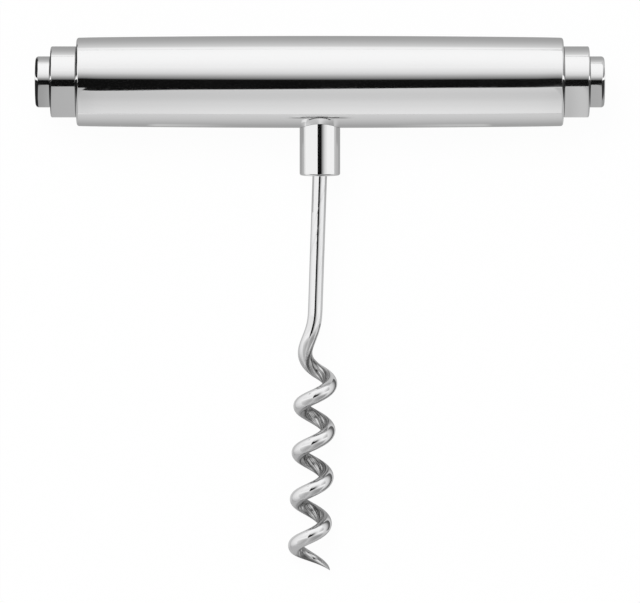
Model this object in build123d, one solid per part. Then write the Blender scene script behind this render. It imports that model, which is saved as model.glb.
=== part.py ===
from build123d import *

import os
from math import cos, degrees, radians, sin, sqrt

# A straight-pull corkscrew with a T handle, in polished stainless steel.
#
# The handle is a thick-walled barrel with a faint crown. A stepped cap and a smaller button close
# each end, so that the handle steps down twice. A core block sits inside the barrel's middle. The
# collar screws through the barrel's wall into the block, and the worm's shank goes up through the
# collar and the block into a captive nut. Two tie studs screw into the block from the ends until
# they bear on the shank, which locks it. Each stud carries a cap and is closed by its button.
#
# The pieces are drawn upright: the handle lies along X with its middle at the origin, the worm
# hangs down along -Z, and the front is at -Y.
# They are written out at rest, as the corkscrew lies on a table: +Z up, the front upwards, the
# handle along X and the worm pointing to -Y. The barrel's middle and the last turn of the worm
# touch the table at Z = 0. The origin is the bottom centre of the whole object's box.

# ---- Driving dimensions, in millimetres and degrees ----

# Barrel
barrel_length = 106.9
barrel_radius = 10.1  # at the middle
barrel_crown = 0.36  # how far the radius drops from the middle to each end
barrel_edge = 0.55  # rounding of the outer end edges

# Stepped end caps
cap_radius = 7.8
cap_length = 5.7  # the step that shows
cap_shoulder = 1.1  # width of the ring that bears on the barrel's end face
cap_edge = 0.35
cap_spigot_length = 9.0  # inside the barrel
cap_lead_in = 0.5

# Cap seals, which are O-rings in a groove round the cap's spigot
seal_thickness = 0.9
seal_groove_width = 1.2
seal_setback = 3.2  # from the barrel's end face to the middle of the groove

# End buttons
button_radius = 5.6
button_length = 3.35
button_edge = 0.7
button_boss_radius = 3.4
button_boss_length = 1.4
button_face = 1.2  # metal between the tapped hole and the outer face

# Tie studs
stud_radius = 2.0
stud_chamfer = 0.4
stud_end_gap = 0.3  # from the stud's end to the bottom of the button's tapped hole

# Core block
core_length = 26.0
core_web = 0.5  # metal between the stud holes and the collar's and the nut's seats
core_chamfer = 0.5

# Captive nut on top of the worm's shank
nut_across_flats = 5.5
nut_thickness = 2.2
nut_chamfer = 0.25
shank_overrun = 0.3  # the shank's end above the nut

# Collar
collar_radius = 4.45
collar_length = 10.45  # below the barrel's underside
collar_edge = 0.45
collar_mouth_chamfer = 0.25
collar_spigot_radius = 3.0

# Worm
wire_diameter = 3.2
shank_length = 27.95  # from the collar's mouth to where the wire starts to bend out to the coil
shank_lean = 1.9  # the wire's set to the left as it leaves the collar
shank_set_radius = 60.0
coil_outer_diameter = 9.48
coil_pitch = 10.34
coil_turns = 4.3  # at full wire thickness, the lead-in included
coil_start_angle = -94.0  # where the helix starts, from +X towards +Y
coil_lean = 2.2  # the coil's own lean to the left
coil_offset = 0.73  # the coil's axis to the right of the shank's, where the wire starts to bend
lead_in_drop = 16.2  # depth over which the wire leaves the shank's line and joins the helix
lead_in_turns = 0.52  # turns over which the pitch eases to the coil's
lead_in_stretch = 10.4  # extra depth that they take
point_turns = 0.43  # ground down to the point
point_fullness = 0.65  # 1 is a straight taper, and less is a fuller one
point_radius = 0.12
point_shoulder = 0.03  # radial step where the grinding starts
point_root_turns = 0.02  # how far back inside the wire the ground part is rooted
point_sections = 6
wire_points_per_turn = 12

# Fits
slip_gap = 0.05  # radial, where one piece slides into another
thread_gap = 0.02  # radial, where one piece screws into another
clearance_gap = 0.2  # radial, where a stud passes freely
seat_gap = 0.02  # between the collar's saddle and the barrel
seam_edge = 0.25  # rounding of the edges that meet at the seams of the handle's steps

# How the wire's direction and the resting pose are found
small_turn = 0.001
settling_passes = 4

# ---- Values worked out from them ----

wire_radius = wire_diameter / 2
barrel_end_radius = barrel_radius - barrel_crown
barrel_bore_radius = cap_radius - cap_shoulder
barrel_end = barrel_length / 2
cap_face = barrel_end + cap_length
button_face_end = cap_face + button_length
core_radius = barrel_bore_radius - slip_gap
collar_mouth = -(barrel_radius + collar_length)
collar_top = -(stud_radius + core_web)
nut_seat = stud_radius + core_web
shank_top = nut_seat + nut_thickness + shank_overrun
seal_groove_radius = barrel_bore_radius - seal_thickness - 2 * thread_gap
coil_radius = coil_outer_diameter / 2 - wire_radius


def rod(radius, start, end):
    """A cylinder along X, from x = start to x = end."""
    return Pos((start + end) / 2, 0, 0) * Rot(0, 90, 0) * Cylinder(radius, end - start)


def post(radius, bottom, top):
    """A cylinder along Z, from z = bottom to z = top."""
    return Pos(0, 0, (bottom + top) / 2) * Cylinder(radius, top - bottom)


def rim(shape, x, radius):
    """The circular edge of a turned piece, at that x and radius."""
    circles = shape.edges().filter_by(GeomType.CIRCLE)
    return circles.sort_by(lambda e: abs(e.arc_center.X - x) + abs(e.radius - radius))[0]


def prism(across_flats, bottom, top):
    """A hexagonal prism along Z."""
    outline = RegularPolygon(across_flats / 2, 6, major_radius=False)
    return Pos(0, 0, bottom) * extrude(outline, top - bottom)


# ---- Handle ----


def barrel_envelope(grow=0.0):
    """Everything inside the barrel's crowned outer surface, larger all round by grow."""
    middle = barrel_radius + grow
    end = barrel_end_radius + grow
    crown = ThreePointArc((-barrel_end, end), (0, middle), (barrel_end, end))
    closing = Polyline((barrel_end, end), (barrel_end, 0), (-barrel_end, 0), (-barrel_end, end))
    return revolve(make_face(crown + closing), Axis.X)


def make_handle_barrel():
    """The crowned tube, with a hole in its underside for the collar's spigot."""
    tube = barrel_envelope()
    for end in (-barrel_end, barrel_end):
        tube = fillet(rim(tube, end, barrel_end_radius), barrel_edge)
    tube -= rod(barrel_bore_radius, -barrel_end, barrel_end)
    return tube - post(collar_spigot_radius + slip_gap, -2 * barrel_radius, 0)


def make_end_cap():
    """The cap of the right-hand end: the step that shows, and the spigot inside the barrel."""
    step = rod(cap_radius, barrel_end, cap_face)
    step = fillet(rim(step, cap_face, cap_radius), cap_edge)
    step = fillet(rim(step, barrel_end, cap_radius), seam_edge)
    spigot_end = barrel_end - cap_spigot_length
    spigot = rod(core_radius, spigot_end, barrel_end)
    spigot = chamfer(rim(spigot, spigot_end, core_radius), cap_lead_in)
    groove_end = barrel_end - seal_setback + seal_groove_width / 2
    groove = rod(barrel_radius, groove_end - seal_groove_width, groove_end)
    groove -= rod(seal_groove_radius, groove_end - seal_groove_width, groove_end)
    cap = step + (spigot - groove)
    cap -= rod(stud_radius + clearance_gap, spigot_end, cap_face)
    boss_pocket = cap_face - button_boss_length - slip_gap
    return cap - rod(button_boss_radius + slip_gap, boss_pocket, cap_face)


def make_cap_seal():
    """The O-ring of the right-hand cap."""
    section_radius = seal_thickness / 2
    ring_radius = seal_groove_radius + thread_gap + section_radius
    return Pos(barrel_end - seal_setback, 0, 0) * Rot(0, 90, 0) * Torus(ring_radius, section_radius)


def make_end_button():
    """The button of the right-hand end, a blind nut on the tie stud with a smooth outer face."""
    head = rod(button_radius, cap_face, button_face_end)
    head = fillet(rim(head, button_face_end, button_radius), button_edge)
    head = fillet(rim(head, cap_face, button_radius), seam_edge)
    boss_end = cap_face - button_boss_length
    button = head + rod(button_boss_radius, boss_end, cap_face)
    return button - rod(stud_radius + thread_gap, boss_end, button_face_end - button_face)


def make_tie_stud():
    """The stud of the right-hand end, from the worm's shank to the bottom of the button."""
    inner_end = wire_radius + slip_gap
    outer_end = button_face_end - button_face - stud_end_gap
    stud = rod(stud_radius, inner_end, outer_end)
    for end in (inner_end, outer_end):
        stud = chamfer(rim(stud, end, stud_radius), stud_chamfer)
    return stud


# ---- Core block, nut and collar ----


def make_core_block():
    """The block that ties the handle together, drilled for the studs, the collar and the shank."""
    half = core_length / 2
    block = rod(core_radius, -half, half)
    for end in (-half, half):
        block = chamfer(rim(block, end, core_radius), core_chamfer)
    block -= rod(stud_radius + thread_gap, -half, half)
    block -= post(collar_spigot_radius + thread_gap, -barrel_radius, collar_top + slip_gap)
    block -= post(wire_radius + slip_gap, -barrel_radius, barrel_radius)
    return block - prism(nut_across_flats + 2 * slip_gap, nut_seat, barrel_radius)


def make_worm_nut():
    """A hexagonal nut with its upper corners turned off."""
    top = nut_seat + nut_thickness
    corner_radius = nut_across_flats / sqrt(3)
    cone = Cone(corner_radius + nut_thickness, corner_radius - nut_chamfer, nut_thickness + nut_chamfer)
    cone = Pos(0, 0, top - (nut_thickness + nut_chamfer) / 2) * cone
    nut = prism(nut_across_flats, nut_seat, top) & cone
    return nut - post(wire_radius + thread_gap, 0, barrel_radius)


def make_collar():
    """A turned collar, coped at the top to sit on the barrel, with a spigot through its wall."""
    body = post(collar_radius, collar_mouth, 0)
    lower_rim = body.edges().filter_by(GeomType.CIRCLE).sort_by(Axis.Z)[0]
    body = fillet(lower_rim, collar_edge) - barrel_envelope(seat_gap)
    collar = body + post(collar_spigot_radius, collar_mouth + collar_length / 2, collar_top)
    bore_radius = wire_radius + slip_gap
    collar -= post(bore_radius, collar_mouth, collar_top)
    mouth = Cone(bore_radius + collar_mouth_chamfer, bore_radius, collar_mouth_chamfer)
    return collar - Pos(0, 0, collar_mouth + collar_mouth_chamfer / 2) * mouth


# ---- Worm ----


def ease(share):
    """A smooth step from 0 to 1, straight and level at both ends."""
    share = min(max(share, 0), 1)
    return share**3 * (10 - 15 * share + 6 * share**2)


def shank_line():
    """The shank's centre line: upright in the handle, set over a little at the collar's mouth."""
    set_start = collar_mouth + shank_set_radius * radians(shank_lean)
    upright = Line((0, 0, shank_top), (0, 0, set_start))
    bend = Plane.XZ * JernArc((0, set_start), (0, -1), shank_set_radius, -shank_lean)
    leaning = Line(bend @ 1, bend @ 1 + (bend % 1) * shank_length)
    return Wire([upright, bend, leaning])


class CoilLine:
    """The coil's centre line, counted in turns from where the wire bends out of the shank.

    The helix is right-handed, so the wire turns clockwise, seen from above, on its way down. It
    starts drawn out, and the wire passes over smoothly from the shank's line to the helix.
    """

    def __init__(self, shank_end):
        self.shank_end = Location(shank_end) * Rot(0, shank_lean, 0)
        self.coil_top = Location(shank_end) * Pos(coil_offset, 0, 0) * Rot(0, coil_lean, 0)

    def centre(self, turn, outset=0.0):
        """The wire's centre at that turn, or a point further out from the coil's axis."""
        to_come = max(1 - turn / lead_in_turns, 0)  # share of the lead-in
        drop = coil_pitch * turn + lead_in_stretch * (1 - to_come**2)
        angle = radians(coil_start_angle - 360 * turn)
        reach = coil_radius + outset
        on_shank = (self.shank_end * Pos(0, 0, -drop)).position
        on_coil = (self.coil_top * Pos(reach * cos(angle), reach * sin(angle), -drop)).position
        return on_shank + (on_coil - on_shank) * ease(drop / lead_in_drop)

    def point_section(self, turn):
        """The radius and centre of the ground point at that turn. Its outer side stays on the coil."""
        left = (coil_turns + point_turns - turn) / point_turns
        full = wire_radius - point_shoulder
        radius = max(full * min(max(left, 0), 1) ** point_fullness, point_radius)
        return radius, self.centre(turn, full - radius)


def make_wire(line, coil):
    """The wire at full thickness: the shank, the bend out to the helix, and the coil."""
    count = round(coil_turns * wire_points_per_turn)
    centres = [coil.centre(coil_turns * i / count) for i in range(count + 1)]
    last_step = coil.centre(coil_turns + small_turn) - coil.centre(coil_turns - small_turn)
    ends = [line % 1, last_step.normalized()]
    helix = Spline(*centres, tangents=ends, tangent_scalars=[1, 1])
    return sweep(Pos(0, 0, shank_top) * Circle(wire_radius), path=line + helix)


def make_ground_point(coil):
    """The wire's end, lofted through round sections square to its line.

    It starts just inside the wire, and each section is turned as little as can be from the last.
    """
    start = coil_turns - point_root_turns
    turns = point_turns + point_root_turns
    sections = []
    across = Vector(0, 0, 1)
    last = None
    for i in range(point_sections + 1):
        turn = start + turns * i / point_sections
        radius, centre = coil.point_section(turn)
        along = coil.point_section(turn + small_turn)[1] - coil.point_section(turn - small_turn)[1]
        along = along.normalized()
        last = last or along
        across -= (last + along) * (across.dot(along) / (1 + last.dot(along)))
        sections.append(Plane(centre, x_dir=across, z_dir=along) * Circle(radius))
        last = along
    return loft(sections)


def make_worm():
    """One wire from the nut to the point."""
    line = shank_line()
    coil = CoilLine(line @ 1)
    return make_wire(line, coil) + make_ground_point(coil)


# ---- The whole corkscrew, laid at rest ----


def resting_turn(worm):
    """The turn that lays the corkscrew down, front upwards, until barrel and worm touch a table."""
    dip = 0.0
    for _ in range(settling_passes):
        turn = Rot(dip - 90, 0, 0)
        lift = (turn * worm).bounding_box().min.Z + barrel_radius
        dip += degrees(lift / worm.bounding_box().size.Z)
    return Rot(dip - 90, 0, 0)


def make_pieces():
    """Every piece by name, upright."""
    pieces = {
        "handle_barrel": make_handle_barrel(),
        "core_block": make_core_block(),
        "worm_nut": make_worm_nut(),
        "collar": make_collar(),
        "worm": make_worm(),
    }
    end_pieces = {
        "tie_stud": make_tie_stud(),
        "end_cap": make_end_cap(),
        "cap_seal": make_cap_seal(),
        "end_button": make_end_button(),
    }
    for name, piece in end_pieces.items():
        pieces["right_" + name] = piece
        pieces["left_" + name] = Rot(0, 0, 180) * piece
    return pieces


def lay_down(pieces):
    """The pieces turned to their resting pose, over the bottom centre of their common box."""
    turn = resting_turn(pieces["worm"])
    lying = {name: turn * piece for name, piece in pieces.items()}
    boxes = [piece.bounding_box() for piece in lying.values()]
    centre_x = (min(box.min.X for box in boxes) + max(box.max.X for box in boxes)) / 2
    centre_y = (min(box.min.Y for box in boxes) + max(box.max.Y for box in boxes)) / 2
    bottom = min(box.min.Z for box in boxes)
    place = Pos(-centre_x, -centre_y, -bottom)
    return {name: place * piece for name, piece in lying.items()}


os.makedirs("parts", exist_ok=True)
for name, piece in lay_down(make_pieces()).items():
    export_step(piece, f"parts/{name}.step")
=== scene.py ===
from math import atan, cos, degrees, pi, radians, sin, sqrt

import bmesh
import bpy
from mathutils import Matrix, Vector


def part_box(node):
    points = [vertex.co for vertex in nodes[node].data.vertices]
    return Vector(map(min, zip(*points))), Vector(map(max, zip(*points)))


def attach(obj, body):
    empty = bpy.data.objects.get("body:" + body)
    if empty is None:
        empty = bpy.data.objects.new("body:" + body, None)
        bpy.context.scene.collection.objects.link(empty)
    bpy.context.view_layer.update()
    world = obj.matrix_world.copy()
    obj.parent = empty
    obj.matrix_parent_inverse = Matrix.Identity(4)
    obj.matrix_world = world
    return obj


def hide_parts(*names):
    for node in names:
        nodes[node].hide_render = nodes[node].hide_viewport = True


# A straight-pull corkscrew with a polished steel T handle, lying front up on a pale table, seen
# from right above. Everything is in metres in the part's own frame: +X along the handle, -Y along
# the worm, and the table at z = 0.

MM = 0.001

# ---- Camera ----

CAMERA_DISTANCE = 1.5
CAMERA_TILT = 1.5  # degrees from straight down, towards the handle
CAMERA_AIM = (0.02 * MM, 0.45 * MM, 5.0 * MM)
CAMERA_CLIP = (0.01, 100.0)
FRAME_WIDTH = 0.14133  # what the frame's long side covers at the aim
SENSOR_WIDTH = 36.0

# ---- Tent and floor ----

WHITE = (1, 1, 1, 1)
BLACK = (0, 0, 0, 1)

# Brightness of the tent by how far up it is, from the horizon to straight overhead
TENT_BACK = ((0.0, 0.95), (0.30, 0.97), (0.53, 0.955), (0.665, 0.925), (0.77, 0.885), (0.92, 0.86))
TENT_FRONT = (
    (0.0, 0.785), (0.14, 0.78), (0.25, 0.757), (0.35, 0.74), (0.45, 0.712), (0.54, 0.70),
    (0.615, 0.675), (0.69, 0.64), (0.76, 0.615), (0.86, 0.605), (0.94, 0.63),
)
TENT_SIDE = 0.915
TENT_TURN = 0.45  # how gradually the front passes into the back
SIDE_TURN = (0.11, 0.18)  # how the sides pass into the front and the back
FRONT_TURN = (0.16, 0.50)  # from how far in front FRONT_ACROSS counts
# What the front and the back keep of their brightness, from the left of the tent to its right
FRONT_ACROSS = (
    (-1.0, 0.97), (-0.65, 0.84), (-0.40, 0.74), (-0.20, 0.74), (-0.09, 0.80), (-0.05, 0.92), (-0.02, 0.98),
    (0.03, 1.0), (0.09, 0.92), (0.25, 0.70), (0.50, 0.52), (0.80, 0.44), (1.0, 0.46),
)
BACK_ACROSS = (
    (-1.0, 0.80), (-0.70, 0.95), (-0.40, 1.0), (0.45, 1.0), (0.70, 0.72), (0.85, 0.50), (1.0, 0.42),
)
TENT_DIFFUSE = 0.62  # strength of the even light on what is no mirror

FLOOR_SIZE = 40.0
FLOOR_DROP = 0.05 * MM  # how far it lies under the reflected table
FLOOR_SHADE = 0.045  # share of the floor's brightness that a shadow can take away
FLOOR_BOUNCE = 0.8  # how white it is to the pieces on it

# ---- What the steel reflects: the table ----

TABLE_RADIUS = 1.2
TABLE_SIDES = 96
# Its brightness behind the handle and before it, by distance from the handle's axis in metres
TABLE_BACK = (
    (0.012, 0.35), (0.0194, 0.375), (0.026, 0.41), (0.036, 0.48), (0.052, 0.57), (0.083, 0.65),
    (0.125, 0.82), (0.17, 0.89), (0.26, 0.92),
)
TABLE_FRONT = (
    (0.012, 0.35), (0.0198, 0.375), (0.0267, 0.44), (0.037, 0.504), (0.053, 0.555), (0.091, 0.595),
    (0.27, 0.63),
)
# A strip beside the collar's mouth may be brighter, by distance from the collar to its left and right
TABLE_LEFT = (
    (0.012, 0.34), (0.020, 0.38), (0.026, 0.45), (0.0346, 0.52), (0.048, 0.58), (0.062, 0.66),
    (0.080, 0.78), (0.142, 0.85),
)
TABLE_RIGHT = ((0.012, 0.32), (0.018, 0.40), (0.028, 0.497), (0.042, 0.52), (0.100, 0.54))
COLLAR_STRIP = (0.0235, 0.0275, 0.0335, 0.0375)  # along Y: its start, full strength, fading and end
STRIP_FADE = (0.036, 0.043)  # along X, to both sides: its fading and end
TABLE_ENDS = (0.80, 0.56)  # brightness beyond the handle's left and right ends
ENDS_FADE = (0.066, 0.080)
# The shade close by the left end: its start and full strength out along X, its fading and end by
# distance from the end's middle, and its brightness
END_SHADE = (0.063, 0.066, 0.030, 0.055, 0.14)
# The shade under the worm: half its width, its far end, its near end, how soft it is and its brightness
UNDER_WORM = (0.0050, -0.058, -0.012, 0.003, 0.36)

# ---- What the steel reflects: the card overhead ----

CARD_HEIGHT = 1.0
# Lower edge of the black part, from left to right
CARD_EDGE = (
    (-0.240, 0.000), (-0.235, -0.150), (-0.166, -0.185), (-0.158, -0.285), (-0.147, -0.338),
    (-0.128, -0.372), (-0.112, -0.380), (-0.099, -0.374), (-0.088, -0.350), (-0.067, -0.310),
    (-0.029, -0.295), (0.029, -0.250), (0.062, -0.222), (0.096, -0.215), (0.126, -0.185), (0.200, -0.215),
)
CARD_GREY = (0.160, 0.125)  # where the grey starts, to the right and upwards
CARD_SLANT = 0.30  # how the right edge draws in below the middle
CARD_DIP = (3.5, 0.02)  # how the upper edge rises with the square of X, and the largest square that counts
CARD_SIDE = 0.85  # the grey spreads this much more slowly to the right
CARD_REACH = 0.62  # how far the grey goes on
# Brightness of the card's grey by distance from the black
CARD_TONES = (
    (0.0, 0.004), (0.045, 0.18), (0.09, 0.27), (0.17, 0.42), (0.274, 0.635), (0.38, 0.745), (0.49, 0.81),
    (0.62, 0.86),
)

# ---- What the steel reflects: low cards ----

# A folded wall round each end of the handle: its start, folds and end, seen from above on the right,
# and how high its parts are
WALL_PLACES = ((0.0535, 0.0395), (0.0606, 0.0395), (0.0635, 0.0395), (0.130, 0.106))
WALL_HEIGHTS = (0.0485, 0.0516, 0.085)
WALL_FADE = (0.0533, 0.0537)  # how it starts
# Brightness of the left and the right one by how far out a place is
WALL_TONES = (
    (
        (0.0535, 0.455), (0.0588, 0.44), (0.0595, 0.40), (0.0612, 0.345), (0.0625, 0.33), (0.0635, 0.015),
        (0.130, 0.01),
    ),
    (
        (0.0535, 0.49), (0.0549, 0.49), (0.0571, 0.55), (0.0588, 0.56), (0.0594, 0.40), (0.0612, 0.41),
        (0.0624, 0.43), (0.0635, 0.03), (0.0743, 0.03), (0.078, 0.25), (0.130, 0.28),
    ),
)
# Beyond the handle's end, the brightness of their feet, and the height at which it fades
WALL_FOOT_TONES = (0.02, 0.32)
WALL_FOOT = (0.012, 0.016)
# The bright gap in both: its sides, how each moves out with height, and from what height
WALL_GAP = (0.0743, 0.0769, 0.10, 0.28, 0.018)

# Cards beside the collar and the worm, and beyond the left end: name, start, end, height, and
# brightness by height
SIDE_CARDS = (
    (
        "left_of_collar", (-0.0450, 0.0235), (-0.0440, 0.0375), 0.0140,
        ((0.0, 0.57), (0.002, 0.60), (0.008, 0.78), (0.014, 0.88)),
    ),
    ("right_of_collar", (0.0450, 0.0235), (0.0440, 0.0375), 0.0095, ((0.0, 0.51), (0.0095, 0.545))),
    (
        "left_of_worm", (-0.0150, -0.0620), (-0.0120, 0.0200), 0.0125,
        ((0.0, 0.40), (0.0034, 0.68), (0.0080, 0.82), (0.0125, 0.88)),
    ),
    ("beyond_left_end", (-0.0680, 0.0527), (-0.0680, 0.0780), 0.0320, ((0.0, 0.02), (0.0320, 0.02))),
    (
        "right_of_worm", (0.0110, -0.0525), (0.0095, -0.0060), 0.0125,
        ((0.0, 0.08), (0.0040, 0.13), (0.0060, 0.40), (0.0085, 0.66), (0.0125, 0.80)),
    ),
)

# A dark card over the collar's rim, for the line that the barrel reflects above the collar: half its
# width, its place along Y, its lower and upper edge, and its brightness
RIM_CARD = (0.0043, 0.0282, 0.0134, 0.0141, 0.02)

# ---- Lamp ----

KEY_SIZE = 1.4
KEY_PLACE = (-0.5, 0.9, 1.9)
KEY_SHARE = 0.38  # share of the diffuse light that comes from the lamp

# ---- Steel, brass and rubber ----
# A noise is given as scale, detail and roughness. A spread is two levels of a noise and what they
# become. A bump is its strength and its depth in metres.

HANDLE_TONE = (0.950, 0.950, 0.952, 1.0)
HANDLE_GRAIN = (9000.0, 60.0, 60.0)  # how close the polishing lines are along X, Y and Z
COLLAR_GRAIN = (60.0, 9000.0, 60.0)
POLISH_LINES = (1.0, 4.0, 0.6)
POLISH_CLOUD = (90.0, 3.0, 0.55)
POLISH_ROUGHNESS = 0.045
POLISH_LINED = (0.35, 0.7, 0.0, 0.02)  # what the lines and the haze add to it
POLISH_HAZED = (0.42, 0.68, 0.0, 0.02)
POLISH_BUMP = (0.04, 0.02 * MM)
SEAM_SHADE_REACH = (0.10, 0.32)  # in millimetres from a seam, how its painted shade, with some polish left there, ends
# brightness of the seam's painted shade
SEAM_SHADE_TONE = 0.03

WORM_TONE = (0.930, 0.930, 0.934, 1.0)
STREAK_GRAIN = (55.0, 1700.0, 1700.0)  # drawing streaks, along the wire and across it
STREAK_NOISE = (1.0, 1.0, 0.4)
SCRATCH_GRAIN = (700.0, 9000.0, 9000.0)
SCRATCH_NOISE = (1.0, 3.0, 0.6)
# The streaks inside the coil, from the drawing die's low places to its high ones; their greys also carry the
# painted shade inside the coil
STREAK_TONES = (
    (0.27, 0.85), (0.35, 0.22), (0.44, 0.42), (0.50, 0.97), (0.55, 0.36), (0.64, 0.14), (0.72, 0.85),
)
DRAWN_TWIST = -0.17  # how the wire's drawing lines turn round it, per millimetre
UNREACHED_AND_SHADED = 0.40  # how much further out the polishing misses, and the painted shade reaches, on the right of the coil
UNPOLISHED_AND_SHADED = (0.10, 0.50)  # how far it has to face the coil's inside for the polishing to miss it and for the painted shade there
UNPOLISHED_SHADE_WANDER = (0.3, 0.7, -0.25, 0.25)  # how that follows the streaks
UNPOLISHED_SHADE_ON_POINT = (0.0, 0.4, 1.0, 0.25)  # and what the ground point keeps of it
FLANK = (0.05, 0.60)  # how far it has to face down to be a dull flank with painted shade
FLANK_WANDER = 0.3  # how much of the streaks' wander that follows
FLANK_SHARE = 0.9  # how much of the painted shade and the dullness shows
# colour of the painted shade on the flanks that face down
FLANK_SHADE_TONE = (0.66, 0.66, 0.665, 1)
POINT_SHADE = 0.92  # how much painted shade darkens the ground point's lower flank
POINT_START = (0.02, 0.30)  # how that starts along the point
POINT_FLANK = (0.0, 0.50)  # and how far it has to face down
# brightness of that painted shade
POINT_SHADE_TONE = 0.13
WIRE_ROUGHNESS = (0.05, 0.27)  # where the polishing reaches, and where it misses
FLANK_ROUGHNESS = 0.22
SCRATCHED = (0.35, 0.7, 0.0, 0.03)  # what the scratches add to the roughness
WIRE_RELIEF = (1.2, 0.1, 0.5)  # shares of the streaks, the scratches and the grinding marks
WIRE_BUMP = (0.5, 0.03 * MM)

INNER_TONE = (0.62, 0.62, 0.63, 1)
INNER_ROUGHNESS = 0.22
BRASS_TONE = (0.80, 0.60, 0.28, 1)
BRASS_ROUGHNESS = 0.25
MACHINED_GRAIN = (5000.0, 120.0, 120.0)
MACHINED_MARKS = (1.0, 3.0, 0.6)
MACHINED_CLOUD = (160.0, 3.0, 0.6)
MACHINED_SHADE = (0.3, 0.7, 0.82, 1.0)
MACHINED_ROUGHER = (0.3, 0.7, 0.0, 0.12)
MACHINED_BUMP = (0.3, 0.03 * MM)

RUBBER_GRAIN = (2500.0, 2.0, 0.5)
RUBBER_BLOOM = (220.0, 3.0, 0.5)
RUBBER_TONES = ((0.35, 0.012), (0.70, 0.035))
RUBBER_ROUGHNESS = (0.3, 0.7, 0.5, 0.68)
RUBBER_BUMP = (0.3, 0.02 * MM)

# ---- The turned pieces and the wire, in millimetres and degrees, as the model has them ----

BARREL_END = 53.45
BARREL_RADIUS = 10.1
BARREL_CROWN = 0.36
BARREL_SWEEP = (BARREL_END**2 + BARREL_CROWN**2) / (2 * BARREL_CROWN)  # radius of its long arc
BARREL_EDGE = 0.55
BARREL_BORE = 6.7
ROLL_OFF = (5.0, 0.035)  # the polishing's soft fall towards each end: over how much, and by how much
CAP_FACE = 59.15
CAP_RADIUS = 7.8
CAP_EDGE = 0.35
SPIGOT_RADIUS = 6.65
SPIGOT_END = 44.45
SPIGOT_LEAD = 0.5
GROOVE = (49.65, 50.85, 5.76)  # from, to, radius
BUTTON_FACE = 62.5
BUTTON_RADIUS = 5.6
BUTTON_EDGE = 0.7
BUTTON_MIDDLE = 0.02  # radius of the small lids that close it on the axis
# Where each of these ends along the handle, and its radius
BOSS = (57.75, 3.4)
POCKET = (57.70, 3.45)
BUTTON_HOLE = (61.3, 2.02)
STUD_HOLE = 2.2
SEAM_EDGE = 0.25
COLLAR_RADIUS = 4.45
COLLAR_MOUTH = -20.55
COLLAR_EDGE = 0.45
COLLAR_BORE = 1.65
COLLAR_CHAMFER = 0.25
COLLAR_SPIGOT = (3.0, -2.5)  # radius, top
COLLAR_HOLE = 3.05
SEAT_GAP = 0.02
DIP = 2.925  # how far the worm points down to the table

WIRE_RADIUS = 1.6
SHANK_TOP = 5.0
SHANK_LENGTH = 27.95
SHANK_LEAN = 1.9
SHANK_SET_RADIUS = 60.0
COIL_RADIUS = 3.14
COIL_PITCH = 10.34
COIL_TURNS = 4.3
COIL_START_ANGLE = -94.0
COIL_LEAN = 2.2
COIL_OFFSET = 0.73
LEAD_IN_DROP = 16.2
LEAD_IN_TURNS = 0.52
LEAD_IN_STRETCH = 10.4
POINT_TURNS = 0.43
POINT_FULLNESS = 0.65
POINT_RADIUS = 0.12
FAR_AXIS = 1000  # how far off the coil's axis is taken to be beside the straight shank

# ---- How finely the shapes are made ----

SIDES = 128  # round a turned piece
HOLE_SIDES = 48
HOLE_START = 0.3  # keeps the hole's corners off the barrel's own edges
HOLE_MARGIN = 2  # how far its cutter goes past the barrel's wall
BARREL_STEPS = 60  # along half the barrel
SLOPE_STEP = 0.01  # over which the barrel's slope at its rounded edge is measured
SADDLE_STEPS = 6
COLLAR_SHARES = (0.02, 0.25, 0.5, 0.75)  # the rings of its side, from the saddle to the mouth
WIRE_SIDES = 48
RINGS_PER_TURN = 72
SHANK_STEPS = (4, 8, 12)  # above the shank's set, in it, and below it
ARC_STEPS = 8  # in a quarter of a rounded edge
HOLD = 0.06  # from the end of a straight run to the point that keeps its shading flat
SHARP = 32  # degrees between faces from which an edge shows as one


# ======== Small helpers ========


def grey(level):
    return (level, level, level, 1)


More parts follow.
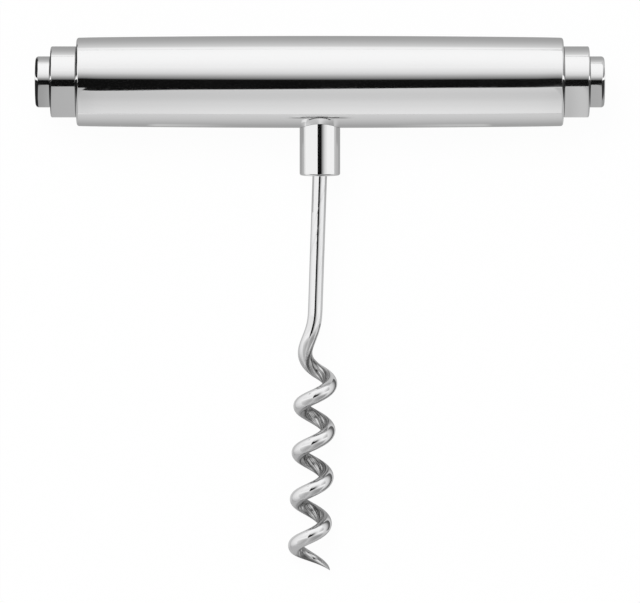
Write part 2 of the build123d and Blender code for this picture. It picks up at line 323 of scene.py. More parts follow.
class Nodes:
    """Adds nodes to a material's or world's tree and joins them in one call each."""

    def __init__(self, tree):
        self.tree = tree
        tree.nodes.clear()

    def add(self, kind, settings=None, **inputs):
        node = self.tree.nodes.new(kind)
        for key, value in (settings or {}).items():
            setattr(node, key, value)
        for key, value in inputs.items():
            self.feed(node, key.replace("_", " "), value)
        return node

    def feed(self, node, socket, value):
        """Links or sets an input, given by its name or by i and its number."""
        numbered = socket[0] == "i" and socket[1:].isdigit()
        target = node.inputs[int(socket[1:]) if numbered else socket]
        if isinstance(value, bpy.types.NodeSocket):
            self.tree.links.new(value, target)
        else:
            target.default_value = value

    def math(self, operation, a, b=0.0, c=0.0, clamp=False):
        node = self.add("ShaderNodeMath", {"operation": operation, "use_clamp": clamp})
        for index, value in enumerate((a, b, c)):
            self.feed(node, f"i{index}", value)
        return node.outputs[0]

    def product(self, first, *others):
        for other in others:
            first = self.math("MULTIPLY", first, other)
        return first

    def minus(self, value):
        return self.math("MULTIPLY", value, -1.0)

    def rest(self, share):
        """What a share leaves of 1."""
        return self.math("SUBTRACT", 1.0, share)

    def distance(self, across, along):
        """The length of a flat vector, from its two parts."""
        squares = self.math("ADD", self.math("POWER", across, 2.0), self.math("POWER", along, 2.0))
        return self.math("SQRT", squares)

    def place(self):
        """Where a point is in its object, in metres."""
        return self.add("ShaderNodeTexCoord").outputs["Object"]

    def parts(self, vector):
        """The X, Y and Z of a vector."""
        return tuple(self.add("ShaderNodeSeparateXYZ", Vector=vector).outputs)

    def spread(self, value, low, high, new_low=0.0, new_high=1.0):
        node = self.add("ShaderNodeMapRange")
        sockets = ("Value", "From Min", "From Max", "To Min", "To Max")
        for socket, given in zip(sockets, (value, low, high, new_low, new_high)):
            self.feed(node, socket, given)
        return node.outputs["Result"]

    def smooth(self, value, low, high):
        """0 below low, 1 above high, and a smooth step between them."""
        node = self.add("ShaderNodeMapRange", {"interpolation_type": "SMOOTHSTEP"})
        for socket, given in zip(("Value", "From Min", "From Max"), (value, low, high)):
            self.feed(node, socket, given)
        return node.outputs["Result"]

    def ramp(self, factor, stops):
        """A colour ramp through grey levels, given as (place, level) with places from 0 to 1."""
        node = self.add("ShaderNodeValToRGB", Fac=factor)
        elements = node.color_ramp.elements
        while len(elements) < len(stops):
            elements.new(0.5)
        for element, (place, level) in zip(elements, stops):
            element.position = place
            element.color = grey(level)
        return node.outputs["Color"]

    def reach_ramp(self, distance, stops):
        """A ramp of grey levels by distance, from stops (distance, level)."""
        reach = stops[-1][0]
        share = self.math("DIVIDE", distance, reach, clamp=True)
        return self.ramp(share, [(d / reach, level) for d, level in stops])

    def mix(self, factor, first, second, blend="MIX"):
        """A mix of two colours."""
        node = self.add("ShaderNodeMix", {"data_type": "RGBA", "blend_type": blend})
        for socket, given in zip(("i0", "i6", "i7"), (factor, first, second)):
            self.feed(node, socket, given)
        return node.outputs[2]

    def noise(self, place, scale, detail, roughness):
        node = self.add("ShaderNodeTexNoise", Vector=place, Scale=scale, Detail=detail, Roughness=roughness)
        return node.outputs["Fac"]

    def lined_noise(self, place, grain, scale, detail, roughness):
        """Noise drawn out into lines, by how close they are along each axis."""
        lines_at = self.add("ShaderNodeMapping", Vector=place, Scale=grain).outputs[0]
        return self.noise(lines_at, scale, detail, roughness)

    def glow(self, tone):
        return self.add("ShaderNodeEmission", Color=tone, Strength=1.0).outputs[0]

    def mix_shaders(self, factor, first, second):
        node = self.add("ShaderNodeMixShader", Fac=factor)
        self.feed(node, "i1", first)
        self.feed(node, "i2", second)
        return node.outputs[0]

    def surface(self, shader):
        self.add("ShaderNodeOutputMaterial", Surface=shader)

    def finish(self, colour, roughness, relief, bump, metallic=1.0):
        """The material's shader, with a bump of that strength and depth."""
        strength, depth = bump
        normal = self.add("ShaderNodeBump", Strength=strength, Distance=depth, Height=relief).outputs[0]
        settings = {"Base_Color": colour, "Metallic": metallic, "Roughness": roughness, "Normal": normal}
        self.surface(self.add("ShaderNodeBsdfPrincipled", **settings).outputs[0])


def new_material(name):
    material = bpy.data.materials.new(name)
    material.use_nodes = True
    return material, Nodes(material.node_tree)


def mesh_object(name, verts, faces, smooth=True):
    mesh = bpy.data.meshes.new(name)
    mesh.from_pydata([tuple(v) for v in verts], [], faces)
    mesh.validate()
    for polygon in mesh.polygons:
        polygon.use_smooth = smooth
    obj = bpy.data.objects.new(name, mesh)
    bpy.context.scene.collection.objects.link(obj)
    return obj


def dress(obj, material):
    obj.data.materials.clear()
    obj.data.materials.append(material)


def only_in_reflections(obj):
    obj.visible_camera = False
    obj.visible_diffuse = False
    obj.visible_transmission = False
    obj.visible_volume_scatter = False
    obj.visible_shadow = False


# ======== Stage ========


def make_camera():
    """The camera of the product view, above the middle and tilted a little towards the handle."""
    data = bpy.data.cameras.new("camera")
    data.sensor_width = SENSOR_WIDTH
    data.lens = SENSOR_WIDTH * CAMERA_DISTANCE / FRAME_WIDTH
    data.clip_start, data.clip_end = CAMERA_CLIP
    camera = bpy.data.objects.new("camera", data)
    bpy.context.scene.collection.objects.link(camera)
    tilt = radians(CAMERA_TILT)
    camera.location = Vector(CAMERA_AIM) + Vector((0, sin(tilt), cos(tilt))) * CAMERA_DISTANCE
    camera.rotation_euler = (-tilt, 0, 0)
    bpy.context.scene.camera = camera
    bpy.context.scene.view_settings.view_transform = "Standard"


def make_tent():
    """The world: white to the camera, a soft white tent in reflections, and even light."""
    world = bpy.data.worlds.new("tent")
    world.use_nodes = True
    bpy.context.scene.world = world
    n = Nodes(world.node_tree)
    across, back, up = n.parts(n.add("ShaderNodeTexCoord").outputs["Generated"])
    up = n.math("ABSOLUTE", up)
    share_across = n.spread(across, -1.0, 1.0)
    kept = n.ramp(share_across, [((x + 1) / 2, level) for x, level in FRONT_ACROSS])
    kept = n.mix(n.smooth(n.minus(back), *FRONT_TURN), WHITE, kept)
    front = n.mix(kept, BLACK, n.ramp(up, TENT_FRONT))
    kept = n.ramp(share_across, [((x + 1) / 2, level) for x, level in BACK_ACROSS])
    behind = n.mix(kept, BLACK, n.ramp(up, TENT_BACK))
    tent = n.mix(n.smooth(back, -TENT_TURN, TENT_TURN), front, behind)
    tent = n.mix(n.smooth(n.math("ABSOLUTE", back), *SIDE_TURN), grey(TENT_SIDE), tent)
    path = n.add("ShaderNodeLightPath").outputs
    seen = n.mix(path["Is Glossy Ray"], WHITE, tent)
    lit = n.add("ShaderNodeBackground", Color=seen, Strength=1.0).outputs[0]
    even = n.add("ShaderNodeBackground", Color=WHITE, Strength=TENT_DIFFUSE).outputs[0]
    shown = n.math("MAXIMUM", path["Is Camera Ray"], path["Is Glossy Ray"])
    shown = n.math("MAXIMUM", shown, path["Is Transmission Ray"])
    n.add("ShaderNodeOutputWorld", Surface=n.mix_shaders(shown, even, lit))


def make_floor():
    """A white sweep that keeps a faint soft shadow."""
    half = FLOOR_SIZE / 2
    corners = [(-half, -half, 0), (half, -half, 0), (half, half, 0), (-half, half, 0)]
    floor = mesh_object("floor", corners, [(0, 1, 2, 3)])
    floor.location.z = -FLOOR_DROP
    material, n = new_material("floor")
    paper = n.add("ShaderNodeBsdfDiffuse", Color=WHITE, Roughness=0.0).outputs[0]
    seen = n.mix_shaders(1 - FLOOR_SHADE, paper, n.glow(WHITE))
    path = n.add("ShaderNodeLightPath").outputs
    shown = n.math("MAXIMUM", path["Is Camera Ray"], path["Is Transmission Ray"])
    plain = n.add("ShaderNodeBsdfDiffuse", Color=grey(FLOOR_BOUNCE), Roughness=0.0).outputs[0]
    n.surface(n.mix_shaders(shown, plain, seen))
    dress(floor, material)


def make_table():
    """What the steel reflects of the table: grey close by, where the handle shades it."""
    bm = bmesh.new()
    bmesh.ops.create_circle(bm, cap_ends=True, segments=TABLE_SIDES, radius=TABLE_RADIUS)
    mesh = bpy.data.meshes.new("table")
    bm.to_mesh(mesh)
    bm.free()
    table = bpy.data.objects.new("table", mesh)
    bpy.context.scene.collection.objects.link(table)
    material, n = new_material("table")
    low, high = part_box("handle_barrel")
    collar_low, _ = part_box("collar")
    axis_y = (low.y + high.y) / 2
    x, y, _ = n.parts(n.place())
    beside = n.math("ABSOLUTE", x)
    behind = n.math("SUBTRACT", y, axis_y)
    past_end = n.math("MAXIMUM", n.math("SUBTRACT", beside, high.x), 0.0)
    to_handle = n.distance(past_end, behind)
    # Before the handle, with the strip beside the collar
    to_collar = n.distance(x, n.math("MAXIMUM", n.math("SUBTRACT", collar_low.y, y), 0.0))
    to_left, to_right = n.reach_ramp(to_collar, TABLE_LEFT), n.reach_ramp(to_collar, TABLE_RIGHT)
    near_collar = n.mix(n.math("GREATER_THAN", x, 0.0), to_left, to_right)
    start, full, fading, end = COLLAR_STRIP
    strip = n.product(n.smooth(y, start, full), n.rest(n.smooth(y, fading, end)))
    strip = n.product(strip, n.rest(n.smooth(beside, *STRIP_FADE)))
    near_collar = n.mix(strip, BLACK, near_collar)
    front = n.mix(1.0, n.reach_ramp(to_handle, TABLE_FRONT), near_collar, "LIGHTEN")
    # Under the worm
    half_width, far_end, near_end, soft, level = UNDER_WORM
    shade = n.product(
        n.smooth(y, far_end - soft, far_end),
        n.smooth(n.minus(y), -near_end, -near_end + soft),
        n.smooth(n.minus(beside), -half_width - soft, -half_width),
    )
    front = n.mix(shade, front, grey(level))
    # Behind the handle and beyond its ends
    tone = n.mix(n.math("GREATER_THAN", y, axis_y), front, n.reach_ramp(to_handle, TABLE_BACK))
    for side, level in zip((-1.0, 1.0), TABLE_ENDS):
        tone = n.mix(n.smooth(n.math("MULTIPLY", x, side), *ENDS_FADE), tone, grey(level))
    start, full, fading, end, level = END_SHADE
    to_end = n.distance(n.math("ADD", x, BUTTON_FACE * MM), behind)
    at_end = n.product(n.smooth(n.minus(x), start, full), n.rest(n.smooth(to_end, fading, end)))
    tone = n.mix(at_end, tone, grey(level))
    n.surface(n.glow(tone))
    dress(table, material)
    only_in_reflections(table)


def make_card():
    """The dark card round the lens, and the grey of the tent's opening beyond two of its edges."""
    right, upper = CARD_GREY
    far_x, far_y = right + CARD_REACH / CARD_SIDE, upper + CARD_REACH
    left, low = CARD_EDGE[0][0], CARD_EDGE[-1][1]
    corners = list(CARD_EDGE) + [(far_x, low), (far_x, far_y), (left, far_y)]
    card = mesh_object("card", [(x, y, 0) for x, y in corners], [tuple(range(len(corners)))], smooth=False)
    card.location.z = CARD_HEIGHT
    material, n = new_material("card")
    x, y, _ = n.parts(n.place())
    drawn_in = n.math("MULTIPLY", n.math("MINIMUM", y, 0.0), CARD_SLANT)
    right_of = n.math("SUBTRACT", n.math("SUBTRACT", x, right), drawn_in)
    right_of = n.math("MULTIPLY", n.math("MAXIMUM", right_of, 0.0), CARD_SIDE)
    steepness, widest = CARD_DIP
    risen = n.math("MULTIPLY", n.math("MINIMUM", n.math("POWER", x, 2.0), widest), steepness)
    above = n.math("MAXIMUM", n.math("SUBTRACT", n.math("SUBTRACT", y, upper), risen), 0.0)
    n.surface(n.glow(n.reach_ramp(n.distance(right_of, above), CARD_TONES)))
    dress(card, material)
    only_in_reflections(card)


def shown_from_front(n, tone, cover):
    """A glow that only shows from its faces' front, as far as cover says."""
    clear = n.add("ShaderNodeBsdfTransparent", Color=WHITE).outputs[0]
    front = n.rest(n.add("ShaderNodeNewGeometry").outputs["Backfacing"])
    n.surface(n.mix_shaders(n.product(front, cover), clear, n.glow(tone)))


def make_wall(name, side, tones, foot_tone):
    """A folded card round one end of the handle, which its rounded edges reflect as dark lines. It
    only shows from the handle's side."""
    verts, faces = [], []
    for (x0, y0), (x1, y1), height in zip(WALL_PLACES, WALL_PLACES[1:], WALL_HEIGHTS):
        first = len(verts)
        verts += [(side * x0, y0, 0), (side * x1, y1, 0), (side * x1, y1, height), (side * x0, y0, height)]
        order = (first + 1, first, first + 3, first + 2)
        faces.append(order if side > 0 else tuple(reversed(order)))
    wall = mesh_object(name, verts, faces, smooth=False)
    material, n = new_material(name)
    out, _, up = n.parts(n.place())
    out = n.math("ABSOLUTE", out)
    gap_from, gap_to, lean_from, lean_to, foot = WALL_GAP
    above = n.math("MAXIMUM", n.math("SUBTRACT", up, foot), 0.0)
    past_start = n.math("SUBTRACT", n.math("SUBTRACT", out, n.math("MULTIPLY", above, lean_from)), gap_from)
    before_end = n.math("SUBTRACT", n.math("ADD", n.math("MULTIPLY", above, lean_to), gap_to), out)
    gap = n.product(n.math("GREATER_THAN", past_start, 0.0), n.math("GREATER_THAN", before_end, 0.0))
    beyond = n.product(n.math("GREATER_THAN", out, BUTTON_FACE * MM), n.rest(n.smooth(up, *WALL_FOOT)))
    tone = n.mix(beyond, n.reach_ramp(out, tones), grey(foot_tone))
    tone = n.mix(gap, tone, WHITE)
    shown_from_front(n, tone, n.smooth(out, *WALL_FADE))
    dress(wall, material)
    only_in_reflections(wall)


def make_side_card(name, near, far, height, tones):
    """A low upright card, which only shows from the middle of the part."""
    (x0, y0), (x1, y1) = near, far
    order = (0, 1, 2, 3) if x0 < 0 else (3, 2, 1, 0)
    corners = [(x0, y0, 0), (x1, y1, 0), (x1, y1, height), (x0, y0, height)]
    card = mesh_object(name, corners, [order], smooth=False)
    material, n = new_material(name)
    _, _, up = n.parts(n.place())
    shown_from_front(n, n.reach_ramp(up, tones), 1.0)
    dress(card, material)
    only_in_reflections(card)


def make_rim_card():
    """The dark end of the collar, as the barrel above it reflects it."""
    half, place_y, low, high, level = RIM_CARD
    corners = [(half, place_y, low), (-half, place_y, low), (-half, place_y, high), (half, place_y, high)]
    card = mesh_object("rim_card", corners, [(0, 1, 2, 3)], smooth=False)
    material, n = new_material("rim_card")
    shown_from_front(n, grey(level), 1.0)
    dress(card, material)
    only_in_reflections(card)


def make_key():
    """One soft lamp, high behind the left shoulder of the handle."""
    data = bpy.data.lights.new("key", "AREA")
    data.shape = "DISK"
    data.size = KEY_SIZE
    place = Vector(KEY_PLACE)
    data.energy = KEY_SHARE * pi * pi * place.length_squared / (place.z / place.length)
    key = bpy.data.objects.new("key", data)
    bpy.context.scene.collection.objects.link(key)
    key.location = place
    key.rotation_euler = (-place).to_track_quat("-Z", "Y").to_euler()
    key.visible_glossy = False


# ======== Shapes ========
# Each piece is drawn upright, in millimetres, as the model is: the handle along X, the worm hanging
# down along -Z. laid() then lays a point down as the corkscrew rests.


def arc(centre_x, centre_r, radius, from_deg, to_deg):
    """Points of a rounded edge, as (x, r)."""
    steps = [from_deg + (to_deg - from_deg) * i / ARC_STEPS for i in range(ARC_STEPS + 1)]
    return [(centre_x + radius * cos(radians(a)), centre_r + radius * sin(radians(a))) for a in steps]


def held(points):
    """Adds a point close to both ends of each long straight run, so that its smooth shading stays flat."""
    out = []
    for (x0, r0), (x1, r1) in zip(points, points[1:]):
        out.append((x0, r0))
        run = sqrt((x1 - x0) ** 2 + (r1 - r0) ** 2)
        if run > 4 * HOLD:
            share = HOLD / run
            out.append((x0 + (x1 - x0) * share, r0 + (r1 - r0) * share))
            out.append((x1 - (x1 - x0) * share, r1 - (r1 - r0) * share))
    out.append(points[-1])
    return out


def laid(point):
    """A point of the upright corkscrew, in metres, where it rests on the table."""
    return RESTING @ (Vector(point) * MM)


def skin(name, rings, closed):
    """A mesh over rings of points: closed into itself, or with a lid at each end."""
    sides = len(rings[0])
    verts = [laid(p) for ring in rings for p in ring]
    faces = []
    for i in range(len(rings) - (0 if closed else 1)):
        a, b = i * sides, (i + 1) % len(rings) * sides
        faces += [(a + k, a + (k + 1) % sides, b + (k + 1) % sides, b + k) for k in range(sides)]
    if not closed:
        faces.append(tuple(reversed(range(sides))))
        faces.append(tuple(range((len(rings) - 1) * sides, len(rings) * sides)))
    obj = mesh_object(name, verts, faces)
    bm = bmesh.new()
    bm.from_mesh(obj.data)
    bmesh.ops.recalc_face_normals(bm, faces=bm.faces)
    bm.to_mesh(obj.data)
    bm.free()
    obj.data.set_sharp_from_angle(angle=radians(SHARP))
    return obj


def turned_piece(name, profile, mirror=1, closed=True):
    """A piece turned round the handle's axis, from its profile's points (x, r)."""
    angles = [2 * pi * k / SIDES for k in range(SIDES)]
    rings = [[(mirror * x, r * cos(a), r * sin(a)) for a in angles] for x, r in profile]
    return skin(name, rings, closed)


def barrel_radius_at(x):
    """The barrel's outer radius: a long arc, with the polishing's fall near the ends."""
    crown = BARREL_RADIUS - BARREL_SWEEP + sqrt(BARREL_SWEEP**2 - x * x)
    reach, fall = ROLL_OFF
    into = max(abs(x) - (BARREL_END - BARREL_EDGE - reach), 0) / reach
    return crown - fall * into**2


def make_barrel():
    """The crowned tube, with the hole for the collar's spigot cut through its underside."""
    edge_x = BARREL_END - BARREL_EDGE
    edge_r = barrel_radius_at(edge_x) - BARREL_EDGE
    fall = atan((barrel_radius_at(edge_x - SLOPE_STEP) - barrel_radius_at(edge_x)) / SLOPE_STEP)
    rounded = arc(edge_x, edge_r, BARREL_EDGE, 90 - degrees(fall), 0)
    xs = [edge_x * i / BARREL_STEPS for i in range(BARREL_STEPS + 1)]
    half = [(x, barrel_radius_at(x)) for x in xs] + rounded
    outer = [(-x, r) for x, r in reversed(half[1:])] + half
    profile = held([(-BARREL_END, BARREL_BORE)] + outer[:ARC_STEPS + 1]) + outer[ARC_STEPS + 1:-ARC_STEPS - 1]
    profile += held(outer[-ARC_STEPS - 1:] + [(BARREL_END, BARREL_BORE)])
    barrel = turned_piece("barrel", profile)
    low, high = -BARREL_RADIUS - HOLE_MARGIN, -BARREL_BORE + HOLE_MARGIN
    turns = [2 * pi * (k + HOLE_START) / HOLE_SIDES for k in range(HOLE_SIDES)]
    ends = [[(COLLAR_HOLE * cos(a), COLLAR_HOLE * sin(a), z) for a in turns] for z in (low, high)]
    cutter = skin("cutter", ends, closed=False)
    cut = barrel.modifiers.new("hole", "BOOLEAN")
    cut.operation = "DIFFERENCE"
    cut.solver = "EXACT"
    cut.object = cutter
    depsgraph = bpy.context.evaluated_depsgraph_get()
    holed = bpy.data.meshes.new_from_object(barrel.evaluated_get(depsgraph))
    barrel.modifiers.clear()
    barrel.data = holed
    bpy.data.objects.remove(cutter)
    return barrel


def make_cap(name, mirror):
    """The first step at an end, with its spigot and the O-ring's groove."""
    groove_from, groove_to, groove_radius = GROOVE
    pocket_x, pocket_r = POCKET
    profile = [(SPIGOT_END, STUD_HOLE), (SPIGOT_END, SPIGOT_RADIUS - SPIGOT_LEAD)]
    profile += [(SPIGOT_END + SPIGOT_LEAD, SPIGOT_RADIUS), (groove_from, SPIGOT_RADIUS)]
    profile += [(groove_from, groove_radius), (groove_to, groove_radius), (groove_to, SPIGOT_RADIUS)]
    profile += [(BARREL_END, SPIGOT_RADIUS)]
    profile += arc(BARREL_END + SEAM_EDGE, CAP_RADIUS - SEAM_EDGE, SEAM_EDGE, 180, 90)
    profile += arc(CAP_FACE - CAP_EDGE, CAP_RADIUS - CAP_EDGE, CAP_EDGE, 90, 0)
    profile += [(CAP_FACE, pocket_r), (pocket_x, pocket_r), (pocket_x, STUD_HOLE)]
    return turned_piece(name, held(profile), mirror)


def make_button(name, mirror):
    """The second step at an end, with the stud's hole in its boss."""
    boss_x, boss_r = BOSS
    hole_x, hole_r = BUTTON_HOLE
    profile = [(BUTTON_FACE, BUTTON_MIDDLE)]
    profile += arc(BUTTON_FACE - BUTTON_EDGE, BUTTON_RADIUS - BUTTON_EDGE, BUTTON_EDGE, 0, 90)
    profile += arc(CAP_FACE + SEAM_EDGE, BUTTON_RADIUS - SEAM_EDGE, SEAM_EDGE, 90, 180)
    profile += [(CAP_FACE, boss_r), (boss_x, boss_r), (boss_x, hole_r), (hole_x, hole_r)]
    profile += [(hole_x, BUTTON_MIDDLE)]
    return turned_piece(name, held(profile), mirror, closed=False)


def make_collar():
    """The collar: turned below, and coped above to sit on the crowned barrel."""
    spigot_radius, spigot_top = COLLAR_SPIGOT

    def saddle(radius, angle):
        seat = BARREL_RADIUS + SEAT_GAP - BARREL_SWEEP + sqrt(BARREL_SWEEP**2 - (radius * cos(angle)) ** 2)
        return -sqrt(seat**2 - (radius * sin(angle)) ** 2)

    rings = []

    def ring(radius, height):
        angles = [2 * pi * k / SIDES for k in range(SIDES)]
        heights = [height(a) if callable(height) else height for a in angles]
        rings.append([(radius * cos(a), radius * sin(a), z) for a, z in zip(angles, heights)])

    for radius, z in held([(COLLAR_BORE, spigot_top), (spigot_radius, spigot_top)]):
        ring(radius, z)
    ring(spigot_radius, lambda a: saddle(spigot_radius, a))
    for i in range(1, SADDLE_STEPS + 1):
        radius = spigot_radius + (COLLAR_RADIUS - spigot_radius) * i / SADDLE_STEPS
        ring(radius, lambda a, radius=radius: saddle(radius, a))
    bottom = COLLAR_MOUTH + COLLAR_EDGE
    for share in COLLAR_SHARES:
        ring(COLLAR_RADIUS, lambda a, share=share: saddle(COLLAR_RADIUS, a) * (1 - share) + bottom * share)
    ring(COLLAR_RADIUS, bottom + HOLD)
    for z, radius in arc(bottom, COLLAR_RADIUS - COLLAR_EDGE, COLLAR_EDGE, 90, 180):
        ring(radius, z)
    mouth = [(COLLAR_RADIUS - COLLAR_EDGE, COLLAR_MOUTH), (COLLAR_BORE + COLLAR_CHAMFER, COLLAR_MOUTH)]
    for radius, z in held(mouth)[1:]:
        ring(radius, z)
    ring(COLLAR_BORE, COLLAR_MOUTH + COLLAR_CHAMFER)
    return skin("collar_steel", rings, closed=True)


def ease(share):
    """A smooth step from 0 to 1, straight and level at both ends."""
    share = min(max(share, 0), 1)
    return share**3 * (10 - 15 * share + 6 * share**2)


def coil_centre(end, turn, outset=0.0):
    """The wire's centre at that turn, the coil's axis beside it, and how far it has joined the coil."""
    to_come = max(1 - turn / LEAD_IN_TURNS, 0)
    drop = COIL_PITCH * turn + LEAD_IN_STRETCH * (1 - to_come**2)
    angle = radians(COIL_START_ANGLE - 360 * turn)
    reach = COIL_RADIUS + outset
    joined = ease(drop / LEAD_IN_DROP)
    shank_turn = Matrix.Rotation(radians(SHANK_LEAN), 3, "Y")
    coil_turn = Matrix.Rotation(radians(COIL_LEAN), 3, "Y")
    on_shank = end + shank_turn @ Vector((0, 0, -drop))
    top = end + Vector((COIL_OFFSET, 0, 0))
    on_coil = top + coil_turn @ Vector((reach * cos(angle), reach * sin(angle), -drop))
    axis = top + coil_turn @ Vector((0, 0, -drop))
    return on_shank.lerp(on_coil, joined), axis, joined


def wire_stations():
    """Along the wire: (centre, radius, coil's axis, how far joined, how far into the ground point)."""
    lean = radians(SHANK_LEAN)
    set_start = COLLAR_MOUTH + SHANK_SET_RADIUS * lean
    far = Vector((FAR_AXIS, 0, 0))
    above, within, below = SHANK_STEPS
    stations = []
    for i in range(above):
        height = SHANK_TOP + (set_start - SHANK_TOP) * i / above
        stations.append((Vector((0, 0, height)), WIRE_RADIUS, far, 0, 0))
    for i in range(within + 1):
        a = lean * i / within
        bend = Vector((SHANK_SET_RADIUS * (cos(a) - 1), 0, set_start - SHANK_SET_RADIUS * sin(a)))
        stations.append((bend, WIRE_RADIUS, far, 0, 0))
    mouth = stations[-1][0]
    along = Vector((-sin(lean), 0, -cos(lean)))
    for i in range(1, below):
        stations.append((mouth + along * SHANK_LENGTH * i / below, WIRE_RADIUS, far, 0, 0))
    end = mouth + along * SHANK_LENGTH
    total = COIL_TURNS + POINT_TURNS
    count = round(total * RINGS_PER_TURN)
    for i in range(count + 1):
        turn = total * i / count
        left = min((total - turn) / POINT_TURNS, 1)
        radius = max(WIRE_RADIUS * left**POINT_FULLNESS, POINT_RADIUS)
        centre, axis, joined = coil_centre(end, turn, WIRE_RADIUS - radius)
        stations.append((centre, radius, axis, joined, 1 - left))
    return stations


def make_wire():
    """The worm. Its mesh keeps where each point is on the straight wire, how far it faces the
    inside of the coil and down, and how far into the ground point it is, for the steel's finish and its
    painted shade."""
    stations = wire_stations()
    rings, straight, inner, under, ground = [], [], [], [], []
    across = Vector((1, 0, 0))
    run = 0.0
    for i, (centre, radius, axis, joined, into) in enumerate(stations):
        before = stations[max(i - 1, 0)][0]
        after = stations[min(i + 1, len(stations) - 1)][0]
        along = (after - before).normalized()
        across = (across - along * across.dot(along)).normalized()
        other = along.cross(across)
        run += (centre - before).length
        inwards = (axis - centre).normalized()
        ring = []
        for k in range(WIRE_SIDES):
            a = 2 * pi * k / WIRE_SIDES
            out = across * cos(a) + other * sin(a)
            ring.append(centre + out * radius)
            drawn = a + DRAWN_TWIST * run
            straight.append((run * MM, cos(drawn) * WIRE_RADIUS * MM, sin(drawn) * WIRE_RADIUS * MM))
            # How far it faces the coil's inside, taken further out on the coil's right, for the unpolished
            # grey and the painted shade
            inner.append((out.dot(inwards) + UNREACHED_AND_SHADED * max(-inwards.x, 0)) * joined)
            under.append(-out.z * joined)
            ground.append(into)
        rings.append(ring)
    wire = skin("worm_wire", rings, closed=False)
    mesh = wire.data
    places = mesh.attributes.new("straight", "FLOAT_VECTOR", "POINT")
    places.data.foreach_set("vector", [c for p in straight for c in p])
    for name, values in (("inner", inner), ("under", under), ("ground", ground)):
        mesh.attributes.new(name, "FLOAT", "POINT").data.foreach_set("value", values)
    return wire


# ======== Materials ========


def polished_steel(name, tone, grain, seam=None):
    """Mirror-polished steel: fine polishing lines, a little haze, and painted shade in its seam, where some
    polish is left dark too.
    """
    material, n = new_material(name)
    place = n.place()
    if seam:
        out = n.math("ABSOLUTE", n.parts(place)[0])
        fading, end = SEAM_SHADE_REACH
        # Painted shade in the seam, where some polish is left too
        past_seam_shade = n.smooth(out, (seam + fading) * MM, (seam + end) * MM)
        tone = n.mix(past_seam_shade, grey(SEAM_SHADE_TONE), tone)
    lines = n.lined_noise(place, grain, *POLISH_LINES)
    hazed = n.spread(n.noise(place, *POLISH_CLOUD), *POLISH_HAZED)
    lined = n.spread(lines, *POLISH_LINED)
    roughness = n.math("ADD", n.math("ADD", hazed, lined), POLISH_ROUGHNESS, clamp=True)
    n.finish(tone, roughness, lines, POLISH_BUMP)
    return material


def wire_steel(name, tone):
    """Worm wire: polished where the wheel reaches, and drawn grey with long streaks inside the coil, with
    painted shade there and on what faces down.
    """
    material, n = new_material(name)
    straight = n.add("ShaderNodeAttribute", {"attribute_name": "straight"}).outputs["Vector"]
    marks = [n.add("ShaderNodeAttribute", {"attribute_name": kept}) for kept in ("inner", "ground", "under")]
    inner, ground, under = (node.outputs["Fac"] for node in marks)
    streaks = n.lined_noise(straight, STREAK_GRAIN, *STREAK_NOISE)
    scratches = n.lined_noise(straight, SCRATCH_GRAIN, *SCRATCH_NOISE)
    wander = n.spread(streaks, *UNPOLISHED_SHADE_WANDER)
    # Darker inside the coil: partly the drawn wire's unpolished grey, partly painted shade
    unpolished_and_shaded = n.product(n.smooth(n.math("ADD", inner, wander), *UNPOLISHED_AND_SHADED), n.spread(ground, *UNPOLISHED_SHADE_ON_POINT))
    # Painted shade on what faces down to the table, which is also made rougher there
    facing_down = n.math("ADD", under, n.math("MULTIPLY", wander, FLANK_WANDER))
    flank = n.math("MULTIPLY", n.smooth(facing_down, *FLANK), FLANK_SHARE)
    colour = n.mix(unpolished_and_shaded, n.mix(flank, tone, FLANK_SHADE_TONE), n.ramp(streaks, STREAK_TONES))
    # Painted shade on the ground point's lower flank
    shaded = n.product(n.smooth(ground, *POINT_START), n.smooth(under, *POINT_FLANK), POINT_SHADE)
    colour = n.mix(shaded, colour, grey(POINT_SHADE_TONE))
    rough = n.spread(unpolished_and_shaded, 0.0, 1.0, *WIRE_ROUGHNESS)
    rough = n.math("MAXIMUM", rough, n.math("MULTIPLY", flank, FLANK_ROUGHNESS))
    roughness = n.math("ADD", rough, n.spread(scratches, *SCRATCHED), clamp=True)
    of_streaks, of_scratches, of_grinding = WIRE_RELIEF
    relief = n.math("ADD", n.product(streaks, unpolished_and_shaded, of_streaks), n.product(scratches, of_scratches))
    relief = n.math("ADD", relief, n.product(scratches, ground, of_grinding))
    n.finish(colour, roughness, relief, WIRE_BUMP)
    return material


def machined_metal(name, tone, rough):
    """Turned metal that stays inside: fine tool marks round the axis and an uneven sheen."""
    material, n = new_material(name)
    place = n.place()
    marks = n.lined_noise(place, MACHINED_GRAIN, *MACHINED_MARKS)
    shade = n.spread(n.noise(place, *MACHINED_CLOUD), *MACHINED_SHADE)
    roughness = n.math("ADD", n.spread(marks, *MACHINED_ROUGHER), rough, clamp=True)
    n.finish(n.mix(shade, BLACK, tone), roughness, marks, MACHINED_BUMP)
    return material


def seal_rubber(name):
    """Black nitrile rubber, matt, with a faint bloom."""
    material, n = new_material(name)
    place = n.place()
    bloom = n.noise(place, *RUBBER_BLOOM)
    roughness = n.spread(bloom, *RUBBER_ROUGHNESS)
    n.finish(n.ramp(bloom, RUBBER_TONES), roughness, n.noise(place, *RUBBER_GRAIN), RUBBER_BUMP, metallic=0.0)
    return material


# ======== The corkscrew ========

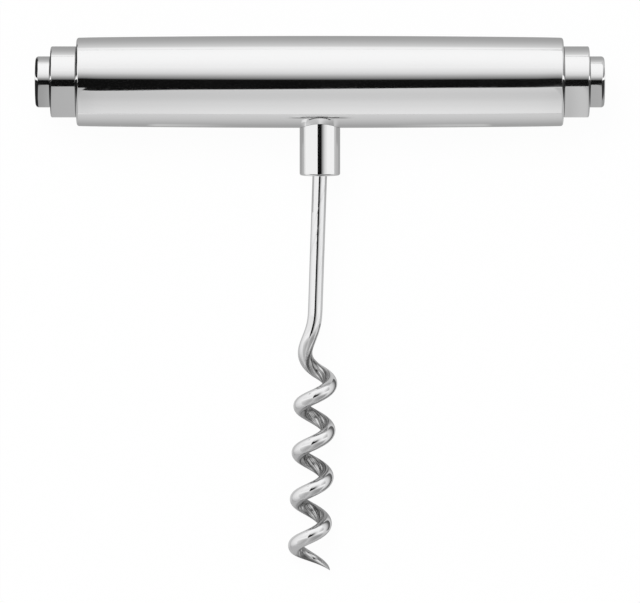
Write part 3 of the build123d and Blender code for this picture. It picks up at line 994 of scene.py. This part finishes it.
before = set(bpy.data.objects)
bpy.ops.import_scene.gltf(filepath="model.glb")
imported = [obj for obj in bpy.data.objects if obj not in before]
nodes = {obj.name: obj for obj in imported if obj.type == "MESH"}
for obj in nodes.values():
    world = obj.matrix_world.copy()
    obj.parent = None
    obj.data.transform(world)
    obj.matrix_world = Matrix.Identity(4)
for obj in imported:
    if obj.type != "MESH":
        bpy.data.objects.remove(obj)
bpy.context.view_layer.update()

barrel_low, barrel_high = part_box("handle_barrel")
axis_place = Vector((0, (barrel_low.y + barrel_high.y) / 2, (barrel_low.z + barrel_high.z) / 2))
RESTING = Matrix.Translation(axis_place) @ Matrix.Rotation(radians(DIP - 90), 4, "X")

make_camera()
make_tent()
make_floor()
make_table()
make_card()
make_wall("left_wall", -1, WALL_TONES[0], WALL_FOOT_TONES[0])
make_wall("right_wall", 1, WALL_TONES[1], WALL_FOOT_TONES[1])
make_rim_card()
for card in SIDE_CARDS:
    make_side_card(*card)
make_key()

handle_steel = polished_steel("handle_steel", HANDLE_TONE, HANDLE_GRAIN)
cap_steel = polished_steel("cap_steel", HANDLE_TONE, HANDLE_GRAIN, BARREL_END)
button_steel = polished_steel("button_steel", HANDLE_TONE, HANDLE_GRAIN, CAP_FACE)
collar_polish = polished_steel("collar_polish", HANDLE_TONE, COLLAR_GRAIN)
worm_steel = wire_steel("worm_steel", WORM_TONE)
inner_steel = machined_metal("inner_steel", INNER_TONE, INNER_ROUGHNESS)
core_brass = machined_metal("core_brass", BRASS_TONE, BRASS_ROUGHNESS)
rubber = seal_rubber("seal_rubber")

dress(nodes["core_block"], core_brass)
dress(nodes["worm_nut"], inner_steel)
for side in ("left", "right"):
    dress(nodes[side + "_tie_stud"], inner_steel)
    dress(nodes[side + "_cap_seal"], rubber)

stand_ins = [
    (make_barrel(), "handle_barrel", handle_steel, "handle_steel"),
    (make_collar(), "collar", collar_polish, "handle_steel"),
    (make_wire(), "worm", worm_steel, "worm_steel"),
]
for side, mirror in (("left", -1), ("right", 1)):
    cap, button = make_cap(side + "_cap", mirror), make_button(side + "_button", mirror)
    stand_ins.append((cap, side + "_end_cap", cap_steel, "handle_steel"))
    stand_ins.append((button, side + "_end_button", button_steel, "handle_steel"))
for piece, node, material, slot in stand_ins:
    dress(piece, material)
    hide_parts(node)
    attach(piece, "root")
